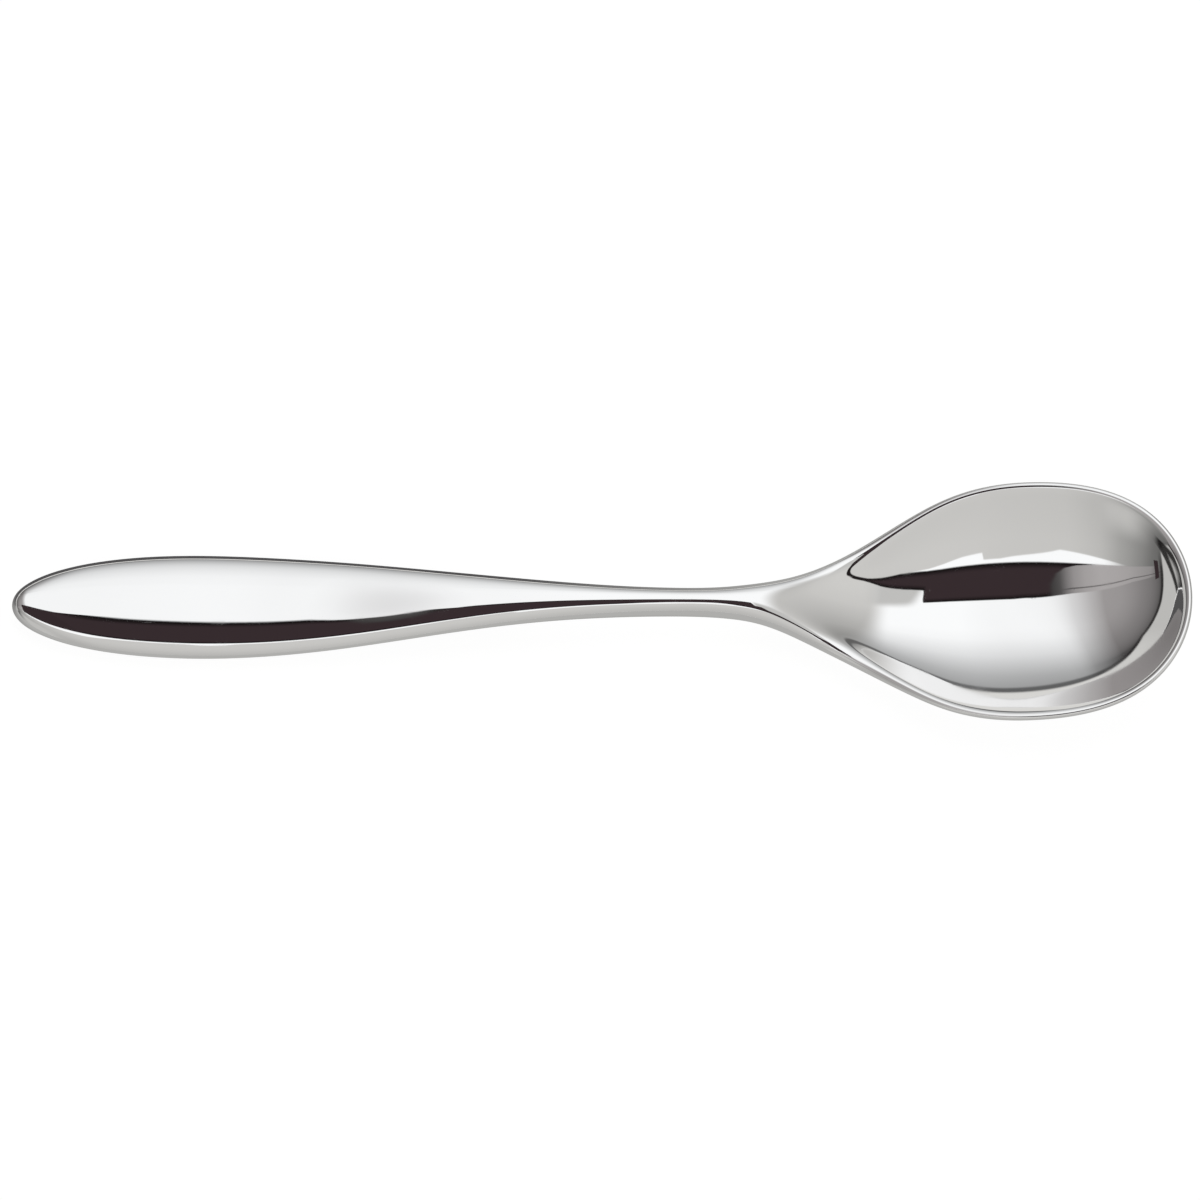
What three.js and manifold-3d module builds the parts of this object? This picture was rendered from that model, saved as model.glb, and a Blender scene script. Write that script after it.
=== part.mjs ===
// A table spoon of mirror-polished stainless steel, in two forgings that meet in a butt weld at the neck:
// a handle, which swells and flattens towards its end, and a thin dished bowl.
// Millimetres, +Z up. The spoon lies on a table at Z 0 with its hollow side up, the handle's end
// towards -X and the bowl towards +X, and the origin is on the table under the middle of its length.

import * as THREE from 'three';
import { mergeVertices } from 'three/addons/utils/BufferGeometryUtils.js';
import Module from 'manifold-3d';

const wasm = await Module();
wasm.setup();

// Overall length, and places along it, measured from the handle's end or from the bowl's tip
const LENGTH = 200;
const END_ROUND_FROM_END = 2.8;
const END_CURVE_FROM_END = 8;
const BELLY_FROM_END = 31;
const RISE_START_FROM_END = 27;
const RISE_FINISH_FROM_TIP = 98;
const NECK_FROM_TIP = 88;
const BOWL_ROOT_FROM_TIP = 78;
const EDGE_FULL_FROM_TIP = 60;
const BOWL_FULL_FROM_TIP = 48;
const BOWL_WIDEST_FROM_TIP = 27;
const TIP_CURVE_FROM_TIP = 10;

// Widths across the spoon
const END_CURVE_WIDTH = 12.75;
const HANDLE_WIDTH = 18.5;
const NECK_WIDTH = 4.9;
const ROOT_WIDTH = 7.2;
const SHOULDER_WIDTH = 19.4;
const FLARE_WIDTH = 36.8;
const BOWL_WIDTH = 42.6;
const TIP_CURVE_WIDTH = 34.9;

// Thicknesses
const END_THICKNESS = 4.7;
const END_CURVE_THICKNESS = 5.3;
const HANDLE_THICKNESS = 6.1;
const TAPER_THICKNESS = 5.2;
const SHANK_THICKNESS = 4.6;
const NECK_THICKNESS = 4.9;
const SHOULDER_THICKNESS = 2.9;
const FLARE_THICKNESS = 1.7;
const BOWL_WALL = 1.5;

// Heights, seen from the side: the neck's axis above the table, the depth of the bowl below its rim at four
// sections, the climb of the rim towards the tip, and how far the rim's tip droops below a straight climb
const NECK_HEIGHT = 8;
const SHOULDER_DEPTH = 4.2;
const FLARE_DEPTH = 7.9;
const BOWL_DEPTH = 9.2;
const TIP_CURVE_DEPTH = 7.6;
const RIM_CLIMB_DEGREES = 7.6;
const RIM_DROOP = 1;

// Depth worn flat where the handle and the bowl rest on the table
const REST_FLAT = 0.08;

// Shape numbers: the share of the handle's extra width that is left a third and two thirds of the way from
// its belly to the neck, and how much gentler the bowl's wall is at the rim than a parabola's
const TAPER_SHARE = 0.75;
const SHANK_SHARE = 0.257;
const WALL_EASE = 0.15;

// Places along the length, from the handle's end
const endCurveAt = END_CURVE_FROM_END;
const bellyAt = BELLY_FROM_END;
const neckAt = LENGTH - NECK_FROM_TIP;
const taperAt = THREE.MathUtils.lerp(bellyAt, neckAt, 1 / 3);
const shankAt = THREE.MathUtils.lerp(bellyAt, neckAt, 2 / 3);
const widestAt = LENGTH - BOWL_WIDEST_FROM_TIP;
const rootAt = THREE.MathUtils.lerp(neckAt, widestAt, 1 / 4);
const shoulderAt = THREE.MathUtils.lerp(neckAt, widestAt, 2 / 4);
const flareAt = THREE.MathUtils.lerp(neckAt, widestAt, 3 / 4);
const tipCurveAt = LENGTH - TIP_CURVE_FROM_TIP;
const taperWidth = THREE.MathUtils.lerp(NECK_WIDTH, HANDLE_WIDTH, TAPER_SHARE);
const shankWidth = THREE.MathUtils.lerp(NECK_WIDTH, HANDLE_WIDTH, SHANK_SHARE);

// Stations are spaced by an angle that runs from 0 at the handle's end to PI at the bowl's tip,
// so that a width that grows evenly with the angle closes each end in a round nose
const angleAt = (at) => Math.acos(1 - (2 * at) / LENGTH);
const placeAt = (angle) => (LENGTH * (1 - Math.cos(angle))) / 2;

// A smooth curve through [place, value] points, with no jump in bend. At an end that closes to nothing it
// runs on straight, and at a blunt end it runs level.
function smoothCurve(points, bluntEnd) {
  const angles = points.map(([at]) => angleAt(at));
  const values = points.map(([, value]) => value);
  const last = points.length - 1;
  const step = (i) => angles[i + 1] - angles[i];
  const slope = (i) => (values[i + 1] - values[i]) / step(i);
  // Forward sweep over the bend at each point, then back substitution
  const ratio = [0];
  const part = [0];
  for (let i = 1; i < last; i++) {
    const pivot = 2 * (step(i - 1) + step(i)) - step(i - 1) * ratio[i - 1];
    ratio.push(step(i) / pivot);
    part.push((6 * (slope(i) - slope(i - 1)) - step(i - 1) * part[i - 1]) / pivot);
  }
  const bend = new Array(last + 1).fill(0);
  if (bluntEnd) {
    bend[last] = (-6 * slope(last - 1) / step(last - 1) - part[last - 1]) / (2 - ratio[last - 1]);
  }
  for (let i = last - 1; i > 0; i--) {
    bend[i] = part[i] - ratio[i] * bend[i + 1];
  }
  return (at) => {
    const angle = angleAt(at);
    let i = 0;
    while (i < last - 1 && angle > angles[i + 1]) i++;
    const after = (angle - angles[i]) / step(i);
    const before = 1 - after;
    const curve = (before ** 3 - before) * bend[i] + (after ** 3 - after) * bend[i + 1];
    return before * values[i] + after * values[i + 1] + (curve * step(i) ** 2) / 6;
  };
}

const halfWidth = smoothCurve([
  [0, 0],
  [endCurveAt, END_CURVE_WIDTH / 2],
  [bellyAt, HANDLE_WIDTH / 2],
  [taperAt, taperWidth / 2],
  [shankAt, shankWidth / 2],
  [neckAt, NECK_WIDTH / 2],
  [rootAt, ROOT_WIDTH / 2],
  [shoulderAt, SHOULDER_WIDTH / 2],
  [flareAt, FLARE_WIDTH / 2],
  [widestAt, BOWL_WIDTH / 2],
  [tipCurveAt, TIP_CURVE_WIDTH / 2],
  [LENGTH, 0],
], false);

const plainThickness = smoothCurve([
  [0, END_THICKNESS / 2],
  [endCurveAt, END_CURVE_THICKNESS / 2],
  [bellyAt, HANDLE_THICKNESS / 2],
  [taperAt, TAPER_THICKNESS / 2],
  [shankAt, SHANK_THICKNESS / 2],
  [neckAt, NECK_THICKNESS / 2],
  [rootAt, NECK_THICKNESS / 2],
  [shoulderAt, SHOULDER_THICKNESS / 2],
  [flareAt, FLARE_THICKNESS / 2],
  [widestAt, BOWL_WALL / 2],
  [LENGTH, BOWL_WALL / 2],
], true);

// The thickness curve, rounded off at the handle's end
function halfThickness(at) {
  const short = Math.max(1 - at / END_ROUND_FROM_END, 0);
  return plainThickness(at) * Math.sqrt(1 - short ** 3);
}

// Depth of the bowl below its rim along its axis
const keelDepth = smoothCurve([
  [neckAt, 0],
  [shoulderAt, SHOULDER_DEPTH],
  [flareAt, FLARE_DEPTH],
  [widestAt, BOWL_DEPTH],
  [tipCurveAt, TIP_CURVE_DEPTH],
  [LENGTH, 0],
], true);

// Share of the bowl's form in the section at a place: none up to its root, all from its full section on
const bowlRootAt = LENGTH - BOWL_ROOT_FROM_TIP;
const bowlFullAt = LENGTH - BOWL_FULL_FROM_TIP;
const bowlShare = (at) => THREE.MathUtils.smootherstep(at, bowlRootAt, bowlFullAt);

// Depth of the dish below the rim: close to a parabola across each section, and nothing at its edges
const PROBE = 0.01;
function dishDepth(at, across) {
  const full = (BOWL_WIDTH / 2) ** 2;
  const section = Math.max(halfWidth(at), PROBE) ** 2;
  const inside = section - across ** 2;
  const ease = (square) => 1 - WALL_EASE * (1 - square / full);
  return (keelDepth(at) * inside * ease(inside)) / (section * ease(section));
}

// The rim's climb from its widest section, and the height of that section which sets the bowl on the table
function rimClimb(at) {
  const run = at - widestAt;
  const droop = RIM_DROOP * (run / BOWL_WIDEST_FROM_TIP) ** 2;
  return Math.tan(THREE.MathUtils.degToRad(RIM_CLIMB_DEGREES)) * run - droop;
}
const SEAT_STEPS = 200;
let keel = Infinity;
for (let i = 0; i <= SEAT_STEPS; i++) {
  const at = THREE.MathUtils.lerp(shoulderAt, LENGTH, i / SEAT_STEPS);
  keel = Math.min(keel, rimClimb(at) - keelDepth(at));
}
const rimHeight = BOWL_WALL / 2 - REST_FLAT - keel;

// Height of the edge line that the section hangs from: half way up the handle and neck, then along the rim
function edgeHeight(at) {
  const rise = THREE.MathUtils.smootherstep(at, RISE_START_FROM_END, LENGTH - RISE_FINISH_FROM_TIP);
  const handle = THREE.MathUtils.lerp(HANDLE_THICKNESS / 2 - REST_FLAT, NECK_HEIGHT, rise);
  return THREE.MathUtils.lerp(handle, rimHeight + rimClimb(at), bowlShare(at));
}

// The surface half way through the metal, and its upward normal from small steps to either side
function middle(at, across) {
  return edgeHeight(at) - bowlShare(at) * dishDepth(at, across);
}
function middleNormal(at, across) {
  const back = Math.max(at - PROBE, 0);
  const front = Math.min(at + PROBE, LENGTH);
  const along = (middle(front, across) - middle(back, across)) / (front - back);
  const side = (middle(at, across + PROBE) - middle(at, across - PROBE)) / (2 * PROBE);
  return new THREE.Vector3(-along, -side, 1).normalize();
}

// Half a section, from the middle of the top round the edge to the middle of the underside. The handle's
// section is an ellipse, of power 2. From the neck on the power rises, with the section's reach, so that in
// the bowl only the rim is round. Past the bowl's widest section the sections fan out from its middle, so
// that each meets the rim squarely.
const ELLIPSE_POWER = 2;
const FLAT_STEPS = 8;
const EDGE_STEPS = 5;
const EDGE_START = THREE.MathUtils.degToRad(20);
function halfSection(angle) {
  const at = placeAt(angle);
  const width = Math.max(halfWidth(at), 0);
  const reach = Math.hypot(Math.max(at - widestAt, 0), width);
  const rimPower = Math.max((2 * reach) / Math.max(halfThickness(at), PROBE), ELLIPSE_POWER);
  const edge = THREE.MathUtils.smootherstep(at, neckAt, LENGTH - EDGE_FULL_FROM_TIP);
  const power = THREE.MathUtils.lerp(ELLIPSE_POWER, rimPower, edge);
  const shares = [];
  for (let i = 0; i < FLAT_STEPS; i++) {
    shares.push((Math.sin(EDGE_START) ** (2 / power) * i) / FLAT_STEPS);
  }
  for (let i = 0; i < EDGE_STEPS; i++) {
    shares.push(Math.sin(THREE.MathUtils.lerp(EDGE_START, Math.PI / 2, i / EDGE_STEPS)) ** (2 / power));
  }
  const pointOn = (share, face) => {
    const place = at > widestAt ? THREE.MathUtils.lerp(widestAt, at, share) : at;
    const lift = face * halfThickness(place) * Math.sqrt(1 - share ** power);
    const base = new THREE.Vector3(place - LENGTH / 2, width * share, middle(place, width * share));
    return base.addScaledVector(middleNormal(place, width * share), lift);
  };
  const top = shares.map((share) => pointOn(share, 1));
  const under = shares.map((share) => pointOn(share, -1)).reverse();
  return [...top, pointOn(1, 0), ...under];
}

// A closed ring: the half section and its mirror image on the other side
function ring(angle) {
  const half = halfSection(angle);
  const mirrored = half.slice(1, -1).reverse().map((point) => new THREE.Vector3(point.x, -point.y, point.z));
  return [...half, ...mirrored];
}

// A solid skinned over a row of rings, with a flat face over an end ring that is still open
function skin(rings, openStart, openEnd) {
  const around = rings[0].length;
  const positions = rings.flat().flatMap((point) => point.toArray());
  const triangles = [];
  for (let i = 0; i < rings.length - 1; i++) {
    for (let j = 0; j < around; j++) {
      const next = (j + 1) % around;
      const corner = [i * around + j, i * around + next, (i + 1) * around + next, (i + 1) * around + j];
      triangles.push(corner[0], corner[2], corner[1], corner[0], corner[3], corner[2]);
    }
  }
  const cap = (first, flip) => {
    for (let j = 1; j < around - 1; j++) {
      const pair = flip ? [first + j + 1, first + j] : [first + j, first + j + 1];
      triangles.push(first, ...pair);
    }
  };
  if (openStart) cap(0, false);
  if (openEnd) cap((rings.length - 1) * around, true);
  const geometry = new THREE.BufferGeometry();
  geometry.setAttribute('position', new THREE.Float32BufferAttribute(positions, 3));
  geometry.setIndex(triangles);
  return geometry;
}

// Boolean solids from geometry and back. Corners that meet are merged, and triangles that close up
// are dropped.
const MERGE = 1e-4;
function toSolid(geometry) {
  geometry.deleteAttribute('normal');
  geometry.deleteAttribute('uv');
  const merged = mergeVertices(geometry, MERGE);
  const index = merged.index.array;
  const triVerts = [];
  for (let i = 0; i < index.length; i += 3) {
    const [a, b, c] = index.slice(i, i + 3);
    if (a !== b && b !== c && c !== a) triVerts.push(a, b, c);
  }
  return new wasm.Manifold(new wasm.Mesh({
    numProp: 3,
    vertProperties: new Float32Array(merged.attributes.position.array),
    triVerts: new Uint32Array(triVerts),
  }));
}
function toGeometry(solid) {
  const mesh = solid.getMesh();
  const geometry = new THREE.BufferGeometry();
  geometry.setAttribute('position', new THREE.BufferAttribute(mesh.vertProperties, 3));
  geometry.setIndex(new THREE.BufferAttribute(mesh.triVerts, 1));
  geometry.computeVertexNormals();
  return geometry;
}

// The table top, which trims the flats that the spoon rests on
const tableGeometry = new THREE.BoxGeometry(LENGTH * 2, LENGTH, LENGTH);
tableGeometry.translate(0, 0, -LENGTH / 2);
const table = toSolid(tableGeometry);

// Rings evenly spaced by angle from one place to another
function ringsBetween(from, to, count) {
  const rings = [];
  for (let i = 0; i <= count; i++) {
    rings.push(ring(THREE.MathUtils.lerp(angleAt(from), angleAt(to), i / count)));
  }
  return rings;
}

function polishedSteel() {
  return new THREE.MeshStandardMaterial({ color: 0xd9d8d6, roughness: 0.06, metalness: 1 });
}

function steelPiece(name, solid) {
  const mesh = new THREE.Mesh(toGeometry(solid), polishedSteel());
  mesh.name = name;
  return mesh;
}

// The handle, from its rounded end to the weld at the neck
const HANDLE_RINGS = 26;
function makeHandle() {
  const rings = ringsBetween(0, neckAt, HANDLE_RINGS);
  return steelPiece('handle', toSolid(skin(rings, false, true)).subtract(table));
}

// The bowl, from the weld through the shoulder to its widest section, then fanned round to the tip
const SHOULDER_RINGS = 22;
const TIP_RINGS = 14;
function makeBowl() {
  const shoulder = ringsBetween(neckAt, widestAt, SHOULDER_RINGS);
  const tip = ringsBetween(widestAt, LENGTH, TIP_RINGS).slice(1);
  return steelPiece('bowl', toSolid(skin([...shoulder, ...tip], true, false)).subtract(table));
}

const spoon = new THREE.Group();
spoon.name = 'spoon';
spoon.add(makeHandle(), makeBowl());

export default spoon;
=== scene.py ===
# A table spoon of mirror-polished stainless steel, lying hollow side up on a white studio table.
# Metres, +Z up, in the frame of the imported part: the handle's end towards -X, the bowl towards +X.

import math

import bpy
import numpy as np
from mathutils import Matrix, Vector


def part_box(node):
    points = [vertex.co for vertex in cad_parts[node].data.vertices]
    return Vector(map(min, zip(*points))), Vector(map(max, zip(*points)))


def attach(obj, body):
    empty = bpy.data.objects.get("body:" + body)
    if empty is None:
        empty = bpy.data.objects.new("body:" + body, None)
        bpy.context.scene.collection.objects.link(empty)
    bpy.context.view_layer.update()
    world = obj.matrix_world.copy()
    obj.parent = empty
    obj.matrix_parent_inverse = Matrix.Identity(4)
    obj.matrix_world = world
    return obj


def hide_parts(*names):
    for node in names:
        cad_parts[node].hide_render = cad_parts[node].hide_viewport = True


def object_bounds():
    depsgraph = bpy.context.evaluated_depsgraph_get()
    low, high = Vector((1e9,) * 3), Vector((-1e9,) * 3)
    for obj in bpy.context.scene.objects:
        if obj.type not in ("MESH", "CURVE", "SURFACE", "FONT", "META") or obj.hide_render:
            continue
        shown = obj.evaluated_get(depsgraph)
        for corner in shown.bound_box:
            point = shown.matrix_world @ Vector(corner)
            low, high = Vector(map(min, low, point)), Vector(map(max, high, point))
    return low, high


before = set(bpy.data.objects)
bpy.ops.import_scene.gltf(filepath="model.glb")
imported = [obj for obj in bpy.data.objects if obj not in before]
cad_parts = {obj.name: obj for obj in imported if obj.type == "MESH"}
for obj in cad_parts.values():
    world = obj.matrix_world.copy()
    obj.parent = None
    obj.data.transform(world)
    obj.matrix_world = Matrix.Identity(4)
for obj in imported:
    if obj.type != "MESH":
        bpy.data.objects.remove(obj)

cad_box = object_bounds()

MM = 0.001

# Overall length, and places along it from the handle's end
LENGTH = 200 * MM
END_ROUND_AT = 2.8 * MM
END_CURVE_AT = 8 * MM
BELLY_AT = 31 * MM
RISE_START_AT = 27 * MM
RISE_FINISH_AT = 102 * MM
NECK_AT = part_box("handle")[1].x + LENGTH / 2
EDGE_FULL_AT = 140 * MM
BOWL_ROOT_AT = 122 * MM
BOWL_FULL_AT = 152 * MM
WIDEST_AT = 173 * MM
TIP_CURVE_AT = 190 * MM

# Widths across the spoon
END_CURVE_WIDTH = 12.75 * MM
HANDLE_WIDTH = 18.5 * MM
NECK_WIDTH = 4.9 * MM
ROOT_WIDTH = 7.2 * MM
SHOULDER_WIDTH = 19.4 * MM
FLARE_WIDTH = 36.8 * MM
BOWL_WIDTH = 42.6 * MM
TIP_CURVE_WIDTH = 34.9 * MM

# Thicknesses
END_THICKNESS = 4.7 * MM
END_CURVE_THICKNESS = 5.3 * MM
HANDLE_THICKNESS = 6.1 * MM
TAPER_THICKNESS = 5.2 * MM
SHANK_THICKNESS = 4.6 * MM
NECK_THICKNESS = 4.9 * MM
SHOULDER_THICKNESS = 2.9 * MM
FLARE_THICKNESS = 1.7 * MM
BOWL_WALL = 1.5 * MM

# Heights, seen from the side
NECK_HEIGHT = 8 * MM
SHOULDER_DEPTH = 4.2 * MM
FLARE_DEPTH = 7.9 * MM
BOWL_DEPTH = 9.2 * MM
TIP_CURVE_DEPTH = 7.6 * MM
RIM_CLIMB = math.tan(math.radians(7.6))
RIM_DROOP = 1 * MM
REST_FLAT = 0.08 * MM

# Shape numbers
TAPER_SHARE = 0.75
SHANK_SHARE = 0.257
WALL_EASE = 0.15
ELLIPSE_POWER = 2

# Fineness of the mesh
HANDLE_ROWS = 170
SHOULDER_ROWS = 130
TIP_ROWS = 100
FLAT_STEPS = 40
EDGE_STEPS = 12
EDGE_START = math.radians(20)
PROBE = 0.01 * MM


def lerp(start, end, share):
    return start + (end - start) * share


def smootherstep(value, low, high):
    share = np.clip((value - low) / (high - low), 0, 1)
    return share**3 * (share * (6 * share - 15) + 10)


# Rows are spaced by an angle that runs from 0 at the handle's end to pi at the bowl's tip, so that a width
# that grows evenly with the angle closes each end in a round nose
def angle_at(place):
    return np.arccos(np.clip(1 - 2 * np.asarray(place) / LENGTH, -1, 1))


def place_at(angle):
    return LENGTH * (1 - np.cos(angle)) / 2


def smooth_curve(points, blunt_end):
    """A curve through (place, value) points with no jump in bend. At an end that closes to nothing it runs
    on straight, and at a blunt end it runs level."""
    places, values = np.array(points).T
    angles = angle_at(places)
    step = np.diff(angles)
    slope = np.diff(values) / step
    rows = np.eye(len(points))
    pull = np.zeros(len(points))
    for i in range(1, len(points) - 1):
        rows[i, i - 1:i + 2] = step[i - 1], 2 * (step[i - 1] + step[i]), step[i]
        pull[i] = 6 * (slope[i] - slope[i - 1])
    if blunt_end:
        rows[-1, -2:] = 1, 2
        pull[-1] = -6 * slope[-1] / step[-1]
    bend = np.linalg.solve(rows, pull)

    def curve(place):
        angle = angle_at(place)
        i = np.clip(np.searchsorted(angles, angle) - 1, 0, len(step) - 1)
        after = (angle - angles[i]) / step[i]
        before = 1 - after
        bulge = (before**3 - before) * bend[i] + (after**3 - after) * bend[i + 1]
        return before * values[i] + after * values[i + 1] + bulge * step[i] ** 2 / 6

    return curve


taper_at = lerp(BELLY_AT, NECK_AT, 1 / 3)
shank_at = lerp(BELLY_AT, NECK_AT, 2 / 3)
root_at = lerp(NECK_AT, WIDEST_AT, 1 / 4)
shoulder_at = lerp(NECK_AT, WIDEST_AT, 2 / 4)
flare_at = lerp(NECK_AT, WIDEST_AT, 3 / 4)

half_width = smooth_curve([
    (0, 0),
    (END_CURVE_AT, END_CURVE_WIDTH / 2),
    (BELLY_AT, HANDLE_WIDTH / 2),
    (taper_at, lerp(NECK_WIDTH, HANDLE_WIDTH, TAPER_SHARE) / 2),
    (shank_at, lerp(NECK_WIDTH, HANDLE_WIDTH, SHANK_SHARE) / 2),
    (NECK_AT, NECK_WIDTH / 2),
    (root_at, ROOT_WIDTH / 2),
    (shoulder_at, SHOULDER_WIDTH / 2),
    (flare_at, FLARE_WIDTH / 2),
    (WIDEST_AT, BOWL_WIDTH / 2),
    (TIP_CURVE_AT, TIP_CURVE_WIDTH / 2),
    (LENGTH, 0),
], blunt_end=False)

plain_thickness = smooth_curve([
    (0, END_THICKNESS / 2),
    (END_CURVE_AT, END_CURVE_THICKNESS / 2),
    (BELLY_AT, HANDLE_THICKNESS / 2),
    (taper_at, TAPER_THICKNESS / 2),
    (shank_at, SHANK_THICKNESS / 2),
    (NECK_AT, NECK_THICKNESS / 2),
    (root_at, NECK_THICKNESS / 2),
    (shoulder_at, SHOULDER_THICKNESS / 2),
    (flare_at, FLARE_THICKNESS / 2),
    (WIDEST_AT, BOWL_WALL / 2),
    (LENGTH, BOWL_WALL / 2),
], blunt_end=True)


def half_thickness(place):
    """The thickness curve, rounded off at the handle's end."""
    short = np.clip(1 - place / END_ROUND_AT, 0, 1)
    return plain_thickness(place) * np.sqrt(1 - short**3)


keel_depth = smooth_curve([
    (NECK_AT, 0),
    (shoulder_at, SHOULDER_DEPTH),
    (flare_at, FLARE_DEPTH),
    (WIDEST_AT, BOWL_DEPTH),
    (TIP_CURVE_AT, TIP_CURVE_DEPTH),
    (LENGTH, 0),
], blunt_end=True)


def bowl_share(place):
    """How much of the bowl's form a section has: none up to its root, all from its full section on."""
    return smootherstep(place, BOWL_ROOT_AT, BOWL_FULL_AT)


def wall_ease(square):
    return 1 - WALL_EASE * (1 - square / (BOWL_WIDTH / 2) ** 2)


def dish_depth(place, across):
    """Depth below the rim: close to a parabola across each section, and nothing at its edges."""
    section = np.maximum(half_width(place), PROBE) ** 2
    inside = section - across**2
    return keel_depth(place) * inside * wall_ease(inside) / (section * wall_ease(section))


def rim_climb(place):
    run = place - WIDEST_AT
    return RIM_CLIMB * run - RIM_DROOP * (run / (LENGTH - WIDEST_AT)) ** 2


keel_places = np.linspace(shoulder_at, LENGTH, 201)
keel = np.min(rim_climb(keel_places) - keel_depth(keel_places))
rim_height = BOWL_WALL / 2 - REST_FLAT - keel


def edge_height(place):
    """Half way up the handle and neck, then along the rim."""
    rise = smootherstep(place, RISE_START_AT, RISE_FINISH_AT)
    handle = lerp(HANDLE_THICKNESS / 2 - REST_FLAT, NECK_HEIGHT, rise)
    return lerp(handle, rim_height + rim_climb(place), bowl_share(place))


def middle(place, across):
    """Height of the surface half way through the metal."""
    return edge_height(place) - bowl_share(place) * dish_depth(place, across)


def middle_normal(place, across):
    back = np.maximum(place - PROBE, 0)
    front = np.minimum(place + PROBE, LENGTH)
    along = (middle(front, across) - middle(back, across)) / (front - back)
    side = (middle(place, across + PROBE) - middle(place, across - PROBE)) / (2 * PROBE)
    normal = np.stack([-along, -side, np.ones_like(along)], -1)
    return normal / np.linalg.norm(normal, axis=-1, keepdims=True)


def half_section(angle):
    """From the middle of the top round the edge to the middle of the underside. Past the bowl's widest
    section the sections fan out from its middle, so that each meets the rim squarely."""
    at = place_at(angle)
    width = max(float(half_width(at)), 0)
    reach = math.hypot(max(at - WIDEST_AT, 0), width)
    rim_power = max(2 * reach / max(float(half_thickness(at)), PROBE), ELLIPSE_POWER)
    power = lerp(ELLIPSE_POWER, rim_power, float(smootherstep(at, NECK_AT, EDGE_FULL_AT)))
    flat = np.linspace(0, math.sin(EDGE_START) ** (2 / power), FLAT_STEPS, endpoint=False)
    edge = np.sin(np.linspace(EDGE_START, math.pi / 2, EDGE_STEPS, endpoint=False)) ** (2 / power)
    share = np.concatenate([flat, edge, [1]])
    place = lerp(WIDEST_AT, at, share) if at > WIDEST_AT else np.full_like(share, at)
    across = width * share
    lift = half_thickness(place) * np.sqrt(np.clip(1 - share**power, 0, 1))
    base = np.stack([place - LENGTH / 2, across, middle(place, across)], -1)
    raised = middle_normal(place, across) * lift[:, None]
    return np.concatenate([base + raised, (base - raised)[-2::-1]])


def ring(angle):
    """A closed ring: the half section and its mirror image, standing on the table."""
    half = half_section(angle)
    points = np.concatenate([half, half[-2:0:-1] * (1, -1, 1)])
    points[:, 2] = np.maximum(points[:, 2], 0)
    return points


def rings_between(start, end, count):
    return [ring(angle) for angle in np.linspace(angle_at(start), angle_at(end), count + 1)]


def smooth_normals(points, faces):
    """Vertex normals of the whole spoon, with corners that meet counted as one."""
    keys = np.round(points / (0.1 * PROBE)).astype(np.int64)
    _, same = np.unique(keys, axis=0, return_inverse=True)
    same = same.ravel()
    corners = points[faces]
    diagonal_a = corners[:, 2] - corners[:, 0]
    diagonal_b = corners[:, 3] - corners[:, 1]
    area = np.cross(diagonal_a, diagonal_b)
    total = np.zeros((same.max() + 1, 3))
    for corner in range(4):
        np.add.at(total, same[faces[:, corner]], area)
    total /= np.maximum(np.linalg.norm(total, axis=1, keepdims=True), 1e-30)
    return total[same]


def ring_faces(rows, around):
    first = np.arange(rows)[:, None] * around
    here = np.arange(around)[None, :]
    following = (here + 1) % around
    corners = [first + here, first + around + here, first + around + following, first + following]
    return np.stack([np.broadcast_to(c, (rows, around)) for c in corners], -1).reshape(-1, 4)


def make_piece(name, points, normals, faces, cap, cap_normal):
    """A closed mesh of the given faces and one flat cap, with the whole spoon's normals on its skin."""
    mesh = bpy.data.meshes.new(name)
    mesh.from_pydata(points.tolist(), [], [*faces.tolist(), cap])
    mesh.shade_smooth()
    ring = set(cap)
    for edge in mesh.edges:
        edge.use_edge_sharp = ring.issuperset(edge.vertices)
    loop_normals = np.concatenate([normals[faces.ravel()], np.tile(cap_normal, (len(cap), 1))])
    mesh.normals_split_custom_set(loop_normals.tolist())
    piece = bpy.data.objects.new(name, mesh)
    bpy.context.scene.collection.objects.link(piece)
    return piece


def make_spoon():
    """The handle and the bowl, cut from one fine skin at the weld, where their faces touch. The skin is held
    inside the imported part's box. Each row has as many faces as points, so the weld splits both alike."""
    rings = rings_between(0, NECK_AT, HANDLE_ROWS)
    rings += rings_between(NECK_AT, WIDEST_AT, SHOULDER_ROWS)[1:]
    rings += rings_between(WIDEST_AT, LENGTH, TIP_ROWS)[1:]
    around = len(rings[0])
    points = np.clip(np.concatenate(rings), *np.array(cad_box))
    faces = ring_faces(len(rings) - 1, around)
    normals = smooth_normals(points, faces)
    weld = HANDLE_ROWS * around
    past_weld = weld + around
    handle_cap = list(range(weld, past_weld))
    handle = make_piece("handle_forging", points[:past_weld], normals[:past_weld],
                        faces[:weld], handle_cap, (1, 0, 0))
    bowl_cap = list(range(around))[::-1]
    bowl = make_piece("bowl_forging", points[weld:], normals[weld:],
                      faces[weld:] - weld, bowl_cap, (-1, 0, 0))
    return handle, bowl


# Camera: the photograph's, looking down on the spoon from in front
CAMERA_TILT = math.radians(20)
CAMERA_ROLL = math.radians(0.6)
CAMERA_DISTANCE = 1.5
VIEW_WIDTH = 203.51 * MM
SENSOR = 36
AIM = Vector((0.04 * MM, 0, 8.68 * MM))


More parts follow.
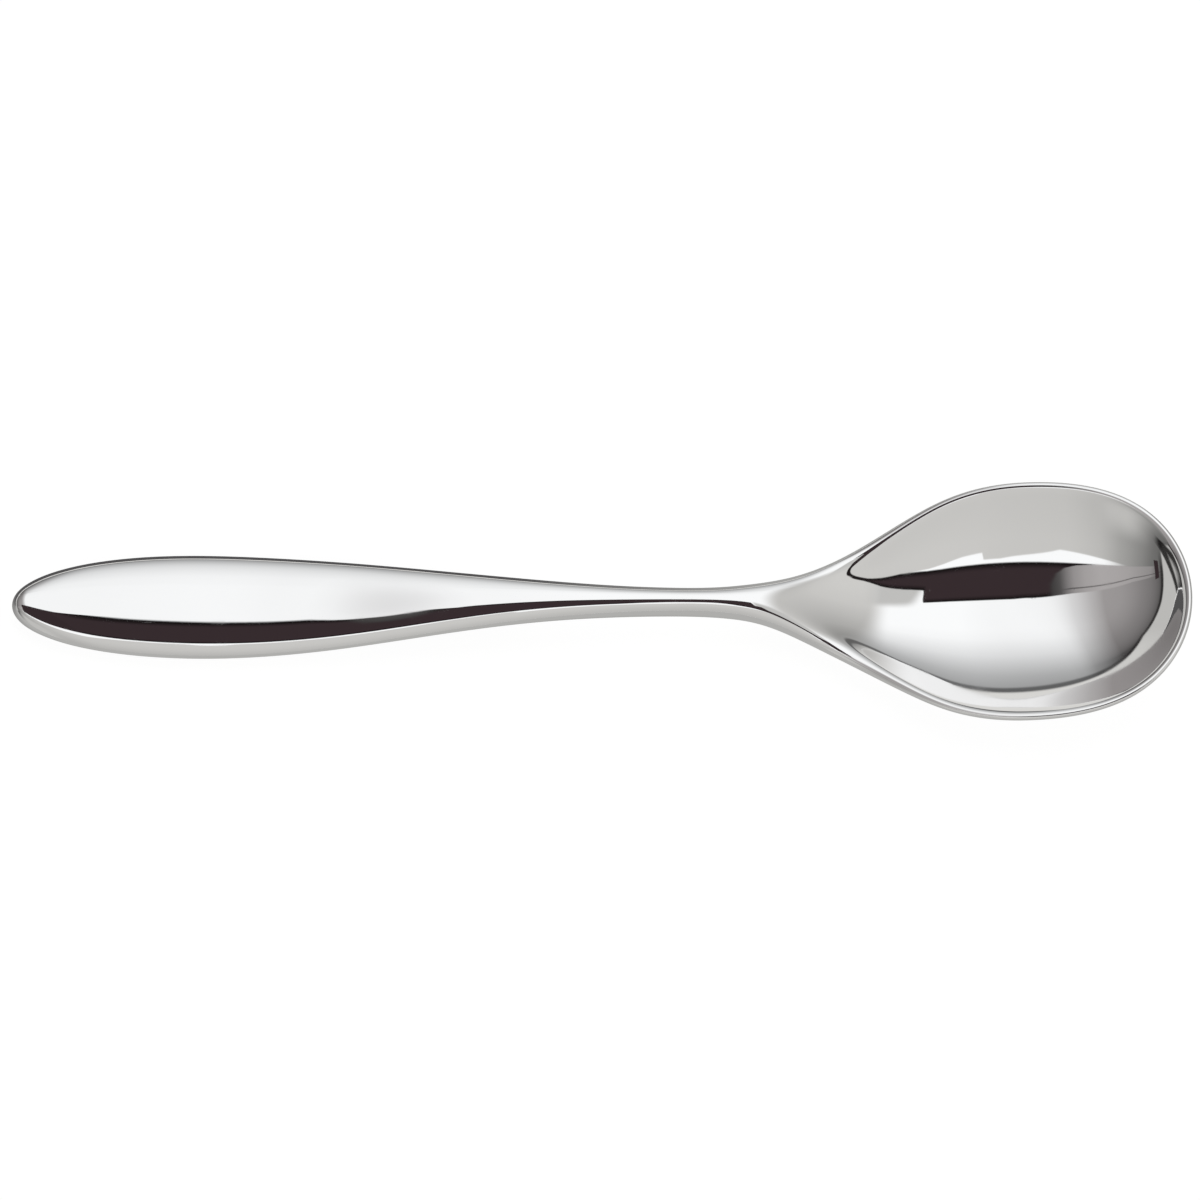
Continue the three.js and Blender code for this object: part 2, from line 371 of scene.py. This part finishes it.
def make_camera():
    data = bpy.data.cameras.new("camera")
    data.sensor_width = SENSOR
    data.lens = SENSOR * CAMERA_DISTANCE / VIEW_WIDTH
    data.clip_end = 20
    camera = bpy.data.objects.new("camera", data)
    bpy.context.scene.collection.objects.link(camera)
    back = Vector((0, -math.sin(CAMERA_TILT), math.cos(CAMERA_TILT)))
    level_up = Vector((0, math.cos(CAMERA_TILT), math.sin(CAMERA_TILT)))
    level_right = Vector((1, 0, 0))
    right = level_right * math.cos(CAMERA_ROLL) + level_up * math.sin(CAMERA_ROLL)
    up = level_up * math.cos(CAMERA_ROLL) - level_right * math.sin(CAMERA_ROLL)
    matrix = Matrix((right, up, back)).transposed().to_4x4()
    matrix.translation = AIM + back * CAMERA_DISTANCE
    camera.matrix_world = matrix
    bpy.context.scene.camera = camera


class Nodes:
    """Short names for building a node tree."""

    def __init__(self, tree):
        self.tree = tree
        tree.nodes.clear()

    def add(self, kind, **settings):
        node = self.tree.nodes.new(kind)
        for name, value in settings.items():
            setattr(node, name, value)
        return node

    def feed(self, socket, value):
        if isinstance(value, bpy.types.NodeSocket):
            self.tree.links.new(value, socket)
        else:
            socket.default_value = value

    def math(self, operation, first, second=0.0):
        node = self.add("ShaderNodeMath", operation=operation)
        self.feed(node.inputs[0], first)
        self.feed(node.inputs[1], second)
        return node.outputs[0]

    def scale(self, value, low, high, out_low, out_high, easing="LINEAR"):
        node = self.add("ShaderNodeMapRange", interpolation_type=easing)
        for socket, given in zip(node.inputs, (value, low, high, out_low, out_high)):
            self.feed(socket, given)
        return node.outputs[0]

    def step(self, value, low, high, out_low=0.0, out_high=1.0):
        return self.scale(value, low, high, out_low, out_high, "SMOOTHSTEP")

    def ramp(self, value, stops):
        node = self.add("ShaderNodeValToRGB")
        ramp = node.color_ramp
        ramp.interpolation = "LINEAR"
        while len(ramp.elements) < len(stops):
            ramp.elements.new(0.5)
        for element, (place, _) in zip(ramp.elements, stops):
            element.position = place
        for element, (_, grey) in zip(ramp.elements, stops):
            element.color = (grey, grey, grey, 1)
        self.feed(node.inputs[0], value)
        return node.outputs[0]

    def curve(self, value, points):
        """A broken line through (value, height) points, level beyond its ends."""
        places, heights = np.array(points).T
        low, high = float(places[0]), float(places[-1])
        bottom, top = float(heights.min()), float(heights.max())
        shares = (places - low) / (high - low)
        greys = (heights - bottom) / (top - bottom)
        line = self.ramp(self.scale(value, low, high, 0.0, 1.0), list(zip(shares, greys)))
        return self.scale(line, 0.0, 1.0, bottom, top)

    def mix(self, share, first, second, blend="MIX"):
        node = self.add("ShaderNodeMix", data_type="RGBA", blend_type=blend)
        self.feed(node.inputs[0], share)
        self.feed(node.inputs[6], first)
        self.feed(node.inputs[7], second)
        return node.outputs[2]

    def noise(self, vector, scale, detail=2.0, roughness=0.5):
        node = self.add("ShaderNodeTexNoise")
        self.feed(node.inputs["Vector"], vector)
        self.feed(node.inputs["Scale"], scale)
        self.feed(node.inputs["Detail"], detail)
        self.feed(node.inputs["Roughness"], roughness)
        return node.outputs["Fac"]

    def mapped(self, vector, setting, value):
        node = self.add("ShaderNodeMapping")
        self.feed(node.inputs["Vector"], vector)
        node.inputs[setting].default_value = value
        return node.outputs["Vector"]

    def show(self, shader, output="ShaderNodeOutputMaterial"):
        self.feed(self.add(output).inputs["Surface"], shader.outputs[0])


# Polished steel
STEEL_PALE = (0.93, 0.925, 0.92)
STEEL_DEEP = (0.87, 0.862, 0.86)
MIRROR_ROUGHNESS = 0.025
SMUDGE_ROUGHNESS = 0.07
HAIRLINE_ROUGHNESS = 0.1
HAIRLINE_DEPTH = 0.002 * MM
HAIRLINE_STRENGTH = 0.15
SMUDGE_SCALE = 90
CLOUD_SCALE = 35


def make_steel(name, hairline_scale, seed):
    """Mirror-polished steel, with faint smudges and the hairlines that use leaves along hairline_scale's
    smallest number."""
    material = bpy.data.materials.new(name)
    material.use_nodes = True
    nodes = Nodes(material.node_tree)
    place = nodes.add("ShaderNodeTexCoord").outputs["Object"]
    place = nodes.mapped(place, "Location", (seed, seed / 2, 0))
    smudge = nodes.step(nodes.noise(place, SMUDGE_SCALE, 4, 0.6), 0.45, 0.75)
    lines = nodes.noise(nodes.mapped(place, "Scale", hairline_scale), 1, 3, 0.65)
    hairline = nodes.step(lines, 0.66, 0.74)
    colour = nodes.mix(nodes.noise(place, CLOUD_SCALE, 3), (*STEEL_PALE, 1), (*STEEL_DEEP, 1))
    rough = nodes.step(smudge, 0, 1, MIRROR_ROUGHNESS, SMUDGE_ROUGHNESS)
    rough = nodes.math("MAXIMUM", rough, nodes.math("MULTIPLY", hairline, HAIRLINE_ROUGHNESS))
    bump = nodes.add("ShaderNodeBump")
    bump.inputs["Strength"].default_value = HAIRLINE_STRENGTH
    bump.inputs["Distance"].default_value = HAIRLINE_DEPTH
    nodes.feed(bump.inputs["Height"], nodes.math("SUBTRACT", lines, hairline))
    steel = nodes.add("ShaderNodeBsdfPrincipled")
    steel.inputs["Metallic"].default_value = 1
    nodes.feed(steel.inputs["Base Color"], colour)
    nodes.feed(steel.inputs["Roughness"], rough)
    nodes.feed(steel.inputs["Normal"], bump.outputs["Normal"])
    nodes.show(steel)
    return material


# Stage
FLOOR_SIZE = 12
FLOOR_DROP = 0.2 * MM
BACKDROP_RADIUS = 5
BACKDROP_HEIGHT = 4
BACKDROP_SIDES = 48
FLOOR_SHADE = 0.22
FLOOR_GLOW = 0.905
# Painted reflection under the spoon: a glowing card that only the steel sees, grey in front and under the
# bowl, dark behind the handle
PAINTED_REFLECTION_SIZE = 3
PAINTED_REFLECTION_FRONT = (0.47, 0.47, 0.46, 1)
PAINTED_REFLECTION_BACK = (0.09, 0.088, 0.09, 1)
PAINTED_REFLECTION_BOWL = (0.42, 0.42, 0.41, 1)
PAINTED_REFLECTION_BOWL_FADE = (-20 * MM, 40 * MM)
PAINTED_REFLECTION_SOFTNESS = 12 * MM
# Painted dark reflection over the handle's end: a black glowing card that only the steel sees
DARK_REFLECTION_HEIGHT = 85 * MM
DARK_REFLECTION_EDGES = (-150 * MM, -107 * MM, -43 * MM, 2 * MM)


def make_stage(name, corners, faces):
    mesh = bpy.data.meshes.new(name)
    mesh.from_pydata(corners, [], faces)
    stage = bpy.data.objects.new(name, mesh)
    bpy.context.scene.collection.objects.link(stage)
    material = bpy.data.materials.new(name)
    material.use_nodes = True
    mesh.materials.append(material)
    return stage, Nodes(material.node_tree)


def make_card(name, left, right, near, far, height):
    corners = [(x, y, height) for x, y in ((left, near), (right, near), (right, far), (left, far))]
    return make_stage(name, corners, [(0, 1, 2, 3)])


def make_plane(name, size, height):
    half = size / 2
    return make_card(name, -half, half, -half, half, height)


def show_in_steel_only(card):
    card.visible_camera = False
    card.visible_diffuse = False
    card.visible_shadow = False


def make_backdrop():
    """A white wall round the table, behind the spoon in low views."""
    turns = [2 * math.pi * i / BACKDROP_SIDES for i in range(BACKDROP_SIDES)]
    feet = [(BACKDROP_RADIUS * math.cos(turn), BACKDROP_RADIUS * math.sin(turn)) for turn in turns]
    corners = [(x, y, -FLOOR_DROP) for x, y in feet] + [(x, y, BACKDROP_HEIGHT) for x, y in feet]
    faces = [(i, (i + 1) % BACKDROP_SIDES, (i + 1) % BACKDROP_SIDES + BACKDROP_SIDES, i + BACKDROP_SIDES)
             for i in range(BACKDROP_SIDES)]
    backdrop, nodes = make_stage("backdrop", corners, faces)
    glow = nodes.add("ShaderNodeEmission")
    glow.inputs["Color"].default_value = (1, 1, 1, 1)
    nodes.show(glow)
    backdrop.visible_diffuse = False
    backdrop.visible_glossy = False
    backdrop.visible_transmission = False
    backdrop.visible_shadow = False


def make_floor():
    """A white table that keeps a faint shadow."""
    floor, nodes = make_plane("table", FLOOR_SIZE, -FLOOR_DROP)
    path = nodes.add("ShaderNodeLightPath").outputs
    seen = nodes.math("ADD", path["Is Camera Ray"], path["Is Glossy Ray"])
    seen = nodes.math("MINIMUM", nodes.math("ADD", seen, path["Is Transmission Ray"]), 1)
    glow = nodes.add("ShaderNodeEmission")
    nodes.feed(glow.inputs["Strength"], nodes.math("MULTIPLY", seen, FLOOR_GLOW))
    cloth = nodes.add("ShaderNodeBsdfDiffuse")
    cloth.inputs["Color"].default_value = (FLOOR_SHADE, FLOOR_SHADE, FLOOR_SHADE, 1)
    both = nodes.add("ShaderNodeAddShader")
    nodes.feed(both.inputs[0], glow.outputs[0])
    nodes.feed(both.inputs[1], cloth.outputs[0])
    nodes.show(both)


def make_painted_reflection():
    """A painted reflection under the spoon: a glowing card that only the polished steel sees, grey in front
    and under the bowl, dark behind the handle."""
    reflection_card, nodes = make_plane("painted_reflection_card", PAINTED_REFLECTION_SIZE, 0)
    place = nodes.add("ShaderNodeTexCoord").outputs["Object"]
    split = nodes.add("ShaderNodeSeparateXYZ")
    nodes.feed(split.inputs[0], place)
    behind = nodes.step(split.outputs["Y"], -PAINTED_REFLECTION_SOFTNESS, PAINTED_REFLECTION_SOFTNESS)
    back = nodes.mix(nodes.step(split.outputs["X"], *PAINTED_REFLECTION_BOWL_FADE), PAINTED_REFLECTION_BACK, PAINTED_REFLECTION_BOWL)
    glow = nodes.add("ShaderNodeEmission")
    nodes.feed(glow.inputs["Color"], nodes.mix(behind, PAINTED_REFLECTION_FRONT, back))
    nodes.show(glow)
    show_in_steel_only(reflection_card)


def make_painted_dark_reflection():
    """A painted dark reflection: a black glowing card over the handle's end, which only the polished steel
    sees.
    """
    dark_reflection, nodes = make_card("painted_dark_reflection", *DARK_REFLECTION_EDGES, DARK_REFLECTION_HEIGHT)
    glow = nodes.add("ShaderNodeEmission")
    glow.inputs["Color"].default_value = SLIT_MIDDLE
    nodes.show(glow)
    show_in_steel_only(dark_reflection)


# Studio light, by direction: a white panel overhead that fades to the back, darker walls at both ends, a
# grey front, and between panel and front the dark slit for the lens. A pale table edge lies along the
# skyline, with a dark rail above it, and a dark cable crosses the left wall. Angles are degrees from
# straight up, towards the front; x, y and z are the direction's parts.
TINT_PANEL = (0.98, 0.995, 1.005, 1)
TINT_LEFT = (1.03, 0.985, 0.985, 1)
TINT_FRONT = (1.005, 1.0, 0.975, 1)
CORNER = (0.53, 0.53, 0.52, 1)
FRONT_CORNER = (0.52, 0.52, 0.52, 1)
SLIT_EDGE = (0.006, 0.005, 0.005, 1)
SLIT_MIDDLE = (0.038, 0.026, 0.029, 1)
BRIGHTNESS = 1.08
EDGE_BLUR = 0.6
SLIT_FADE = 5
SLIT_END_BLUR = 0.006
SEAM_ANGLE = 4.5
RAIL_DARKNESS = 0.65
SKYLINE_BLUR = 0.012
CABLE_SLOPE = 0.43
CABLE_HEIGHT = 0.105


def make_studio():
    world = bpy.data.worlds.new("studio")
    bpy.context.scene.world = world
    world.use_nodes = True
    nodes = Nodes(world.node_tree)
    way = nodes.add("ShaderNodeSeparateXYZ")
    nodes.feed(way.inputs[0], nodes.add("ShaderNodeTexCoord").outputs["Generated"])
    x, y, z = way.outputs
    angle = nodes.math("ARCTAN2", nodes.math("MULTIPLY", y, -1), z)
    angle = nodes.math("MULTIPLY", angle, 180 / math.pi)

    def tint(grey, colour):
        return nodes.mix(1, grey, colour, "MULTIPLY")

    overhead = nodes.curve(angle, [(-96, 0.2), (-88, 0.27), (-82, 0.36), (-74, 0.47), (-66, 0.62),
                                   (-58, 0.77), (-50, 0.87), (-42, 0.96), (-32, 1)])
    overhead = tint(overhead, TINT_PANEL)
    left = nodes.curve(z, [(0.25, 0.065), (0.3, 0.12), (0.35, 0.15), (0.42, 0.18), (0.55, 0.22),
                           (0.67, 0.265), (0.8, 0.31), (1, 0.34)])
    left = tint(left, TINT_LEFT)
    right = nodes.curve(angle, [(-70, 0.3), (-55, 0.42), (-35, 0.5), (-10, 0.58), (20, 0.62)])
    right = tint(right, TINT_FRONT)
    near_left = nodes.curve(x, [(-0.43, 0), (-0.34, 0.2), (-0.3, 0.33), (-0.25, 0.52), (-0.215, 0.77),
                                (-0.2, 0.86), (-0.17, 0.93), (-0.12, 0.93), (0, 1)])
    light = nodes.mix(near_left, left, overhead)
    light = nodes.mix(nodes.step(x, 0.3, 0.56), light, right)
    corner = nodes.math("MULTIPLY", nodes.step(x, 0.19, 0.23), nodes.step(x, 0.42, 0.62, 1, 0))
    light = nodes.mix(nodes.math("MULTIPLY", corner, nodes.step(angle, -11, 0)), light, CORNER)

    front = nodes.curve(x, [(-0.95, 0.14), (-0.9, 0.165), (-0.82, 0.24), (-0.7, 0.315), (-0.57, 0.38),
                            (-0.42, 0.5), (-0.26, 0.57), (0, 0.59)])
    dimming = nodes.curve(angle, [(38, 1), (50, 0.96), (62, 0.9), (80, 0.84), (100, 0.8)])
    front = nodes.math("MULTIPLY", front, dimming)
    upper = nodes.math("MULTIPLY", nodes.step(angle, 43, 55), nodes.step(x, -0.9, -0.6))
    front = nodes.mix(nodes.math("MULTIPLY", upper, nodes.step(x, -0.5, -0.35, 1, 0)), front, FRONT_CORNER)
    front = tint(front, TINT_FRONT)
    slit_front = nodes.curve(x, [(0.15, 25.5), (0.23, 26), (0.28, 27.2), (0.33, 28.8), (0.47, 29.2),
                                 (0.57, 30.3), (0.66, 33.5)])
    slit_back = nodes.curve(x, [(-0.75, 9), (-0.26, 1.5), (-0.22, 0), (-0.17, -2.8), (0.05, -2.8),
                                (0.183, -3.2), (0.2, 9.5), (0.234, 11), (0.283, 13.8), (0.4, 17.6),
                                (0.458, 19.8), (0.6, 27.5), (0.66, 29.5)])
    past_front = nodes.math("SUBTRACT", angle, slit_front)
    past_back = nodes.math("SUBTRACT", angle, slit_back)
    in_front = nodes.step(past_front, -EDGE_BLUR, EDGE_BLUR)
    light = nodes.mix(in_front, light, front)

    gleam = nodes.curve(x, [(-0.7, 0), (-0.23, 7.5), (-0.17, 4), (-0.12, 2.5), (-0.06, 2.5), (-0.045, 6.5),
                            (0.05, 5.5), (0.2, 2), (0.3, 0)])
    beyond = nodes.step(nodes.math("SUBTRACT", past_front, gleam), -EDGE_BLUR, EDGE_BLUR)
    gleam = nodes.math("MULTIPLY", nodes.math("SUBTRACT", in_front, beyond), nodes.step(x, -0.7, -0.4))
    light = nodes.mix(nodes.math("MAXIMUM", gleam, 0), light, TINT_PANEL)

    between = nodes.math("SUBTRACT", nodes.step(past_back, -EDGE_BLUR, EDGE_BLUR), in_front)
    between = nodes.math("MAXIMUM", between, 0)
    deep = nodes.math("MINIMUM", nodes.step(past_back, 0, SLIT_FADE),
                      nodes.step(past_front, -SLIT_FADE, 0, 1, 0))
    slit = nodes.mix(deep, SLIT_EDGE, SLIT_MIDDLE)
    wall = nodes.curve(x, [(-0.97, 0.08), (-0.9, 0.27), (-0.82, 0.31), (-0.7, 0.36), (-0.57, 0.385),
                           (-0.42, 0.4), (-0.32, 0.36), (-0.27, 0.29), (-0.245, 0.19), (-0.225, 0.08),
                           (-0.2, 0.036)])
    slit_end = nodes.curve(angle, [(0, -0.203), (10, -0.206), (18, -0.218), (22, -0.24), (24, -0.28),
                                   (26, -0.42)])
    past_end = nodes.math("SUBTRACT", x, slit_end)
    slit = nodes.mix(nodes.step(past_end, -SLIT_END_BLUR, SLIT_END_BLUR), tint(wall, TINT_LEFT), slit)
    slit = nodes.mix(nodes.step(x, 0.65, 0.66), slit, right)
    light = nodes.mix(between, light, slit)
    seam = nodes.math("ABSOLUTE", nodes.math("SUBTRACT", past_back, SEAM_ANGLE))
    seam = nodes.math("MULTIPLY", nodes.step(seam, 0.3, 0.9, 0.6, 0), nodes.step(x, -0.26, -0.22, 1, 0))
    light = nodes.mix(seam, light, SLIT_EDGE)

    skyline = nodes.curve(y, [(0.3, 0.225), (0.7, 0.25), (0.78, 0.216), (0.91, 0.156), (0.985, 0.105)])
    above = nodes.math("SUBTRACT", z, skyline)
    rail = nodes.math("MULTIPLY", nodes.step(above, 0.03, 0.055, 1, 0), nodes.step(y, -0.3, -0.1))
    light = nodes.mix(nodes.math("MULTIPLY", rail, RAIL_DARKNESS), light, SLIT_EDGE)
    low = nodes.step(above, -SKYLINE_BLUR, SKYLINE_BLUR, 1, 0)
    low = nodes.math("MULTIPLY", low, nodes.step(y, -0.4, -0.2))
    low = nodes.math("MULTIPLY", low, nodes.step(x, 0.35, 0.5, 1, 0))
    table_edge = nodes.curve(y, [(0.6, 0.5), (0.9, 0.62), (0.97, 0.66), (1, 0.7)])
    light = nodes.mix(low, light, tint(table_edge, TINT_FRONT))
    cable = nodes.math("ADD", z, nodes.math("MULTIPLY", y, CABLE_SLOPE))
    cable = nodes.math("ABSOLUTE", nodes.math("SUBTRACT", cable, CABLE_HEIGHT))
    cable = nodes.step(cable, 0.007, 0.02, 0.95, 0)
    cable = nodes.math("MULTIPLY", cable, nodes.step(x, -0.9, -0.8, 1, 0))
    light = nodes.mix(cable, light, SLIT_EDGE)

    background = nodes.add("ShaderNodeBackground")
    nodes.feed(background.inputs["Color"], light)
    background.inputs["Strength"].default_value = BRIGHTNESS
    nodes.show(background, "ShaderNodeOutputWorld")


handle, bowl = make_spoon()
handle_steel = make_steel("handle_steel", (60, 4000, 4000), 0.0)
bowl_steel = make_steel("bowl_steel", (900, 900, 900), 0.3)
for piece, node, slot, steel in ((handle, "handle", "polished_steel_handle", handle_steel),
                                 (bowl, "bowl", "polished_steel_bowl", bowl_steel)):
    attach(piece, "root")
    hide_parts(node)
    piece.data.materials.append(steel)
make_floor()
make_backdrop()
# Painted reflection: a grey and dark glowing card under the spoon, seen only in the steel
make_painted_reflection()
# Painted dark reflection: a black glowing card over the handle's end, seen only in the steel
make_painted_dark_reflection()
make_studio()
make_camera()
bpy.context.scene.view_settings.view_transform = "Standard"
